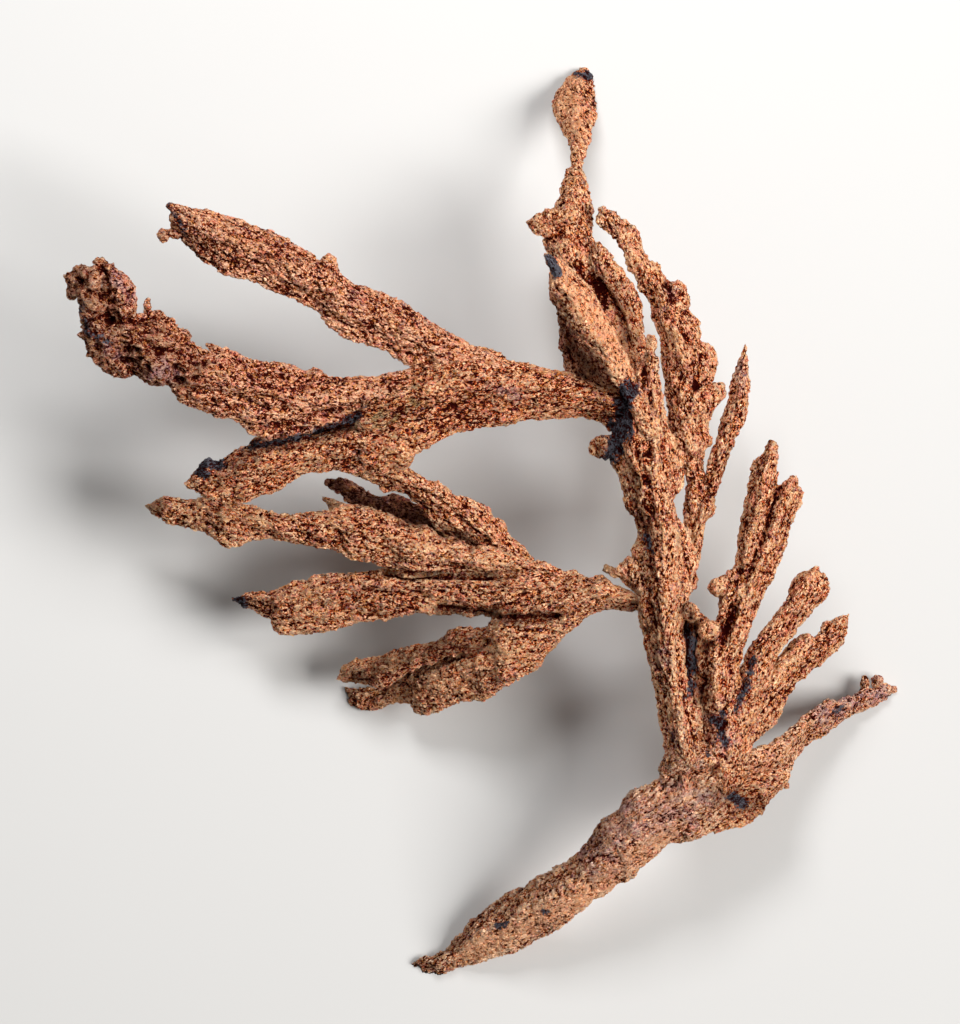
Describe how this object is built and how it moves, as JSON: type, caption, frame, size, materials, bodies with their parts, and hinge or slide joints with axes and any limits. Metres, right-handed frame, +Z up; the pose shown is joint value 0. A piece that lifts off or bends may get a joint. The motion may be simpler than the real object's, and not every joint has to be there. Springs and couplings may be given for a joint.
{
  "type": "native copper specimen",
  "caption": "Branching native copper crystal specimen of flattened, granular blades with spiky tips, lying on its low tips.",
  "frame": {"origin": "middle of the specimen's box, at the surface it lies on", "axes": "+Z up from the surface; +Y along the trunk towards the spear tip, the longest way; +X across, towards the fan blades"},
  "size_m": [0.0825, 0.0907, 0.0259],
  "materials": {
    "bright_copper": "granular bare copper, peach-orange on the ridges, brown oxide in the pits",
    "brown_copper": "crumbly brown copper oxide over granular copper",
    "dark_copper": "dark brown to black copper oxide",
    "tarnished_copper": "granular copper with violet-blue tarnish"
  },
  "bodies": {
    "root": {"trunk": "bright_copper", "base_spike": "tarnished_copper", "base_ledge": "bright_copper", "low_branch": "tarnished_copper", "fan_tall_blade": "bright_copper", "fan_middle_blade": "bright_copper", "fan_outer_blade": "bright_copper", "right_column": "bright_copper", "needle": "bright_copper", "top_column": "bright_copper", "front_blade": "bright_copper", "left_arm": "bright_copper", "side_blade": "brown_copper", "upper_left_blade": "brown_copper", "curl_blade": "brown_copper", "middle_left_blade": "bright_copper", "cross_blade": "bright_copper", "under_blade": "dark_copper", "lower_arm": "bright_copper", "finger_top": "bright_copper", "finger_middle": "bright_copper", "finger_bottom": "bright_copper", "finger_bottom_upper": "bright_copper"}
  },
  "joints": []
}
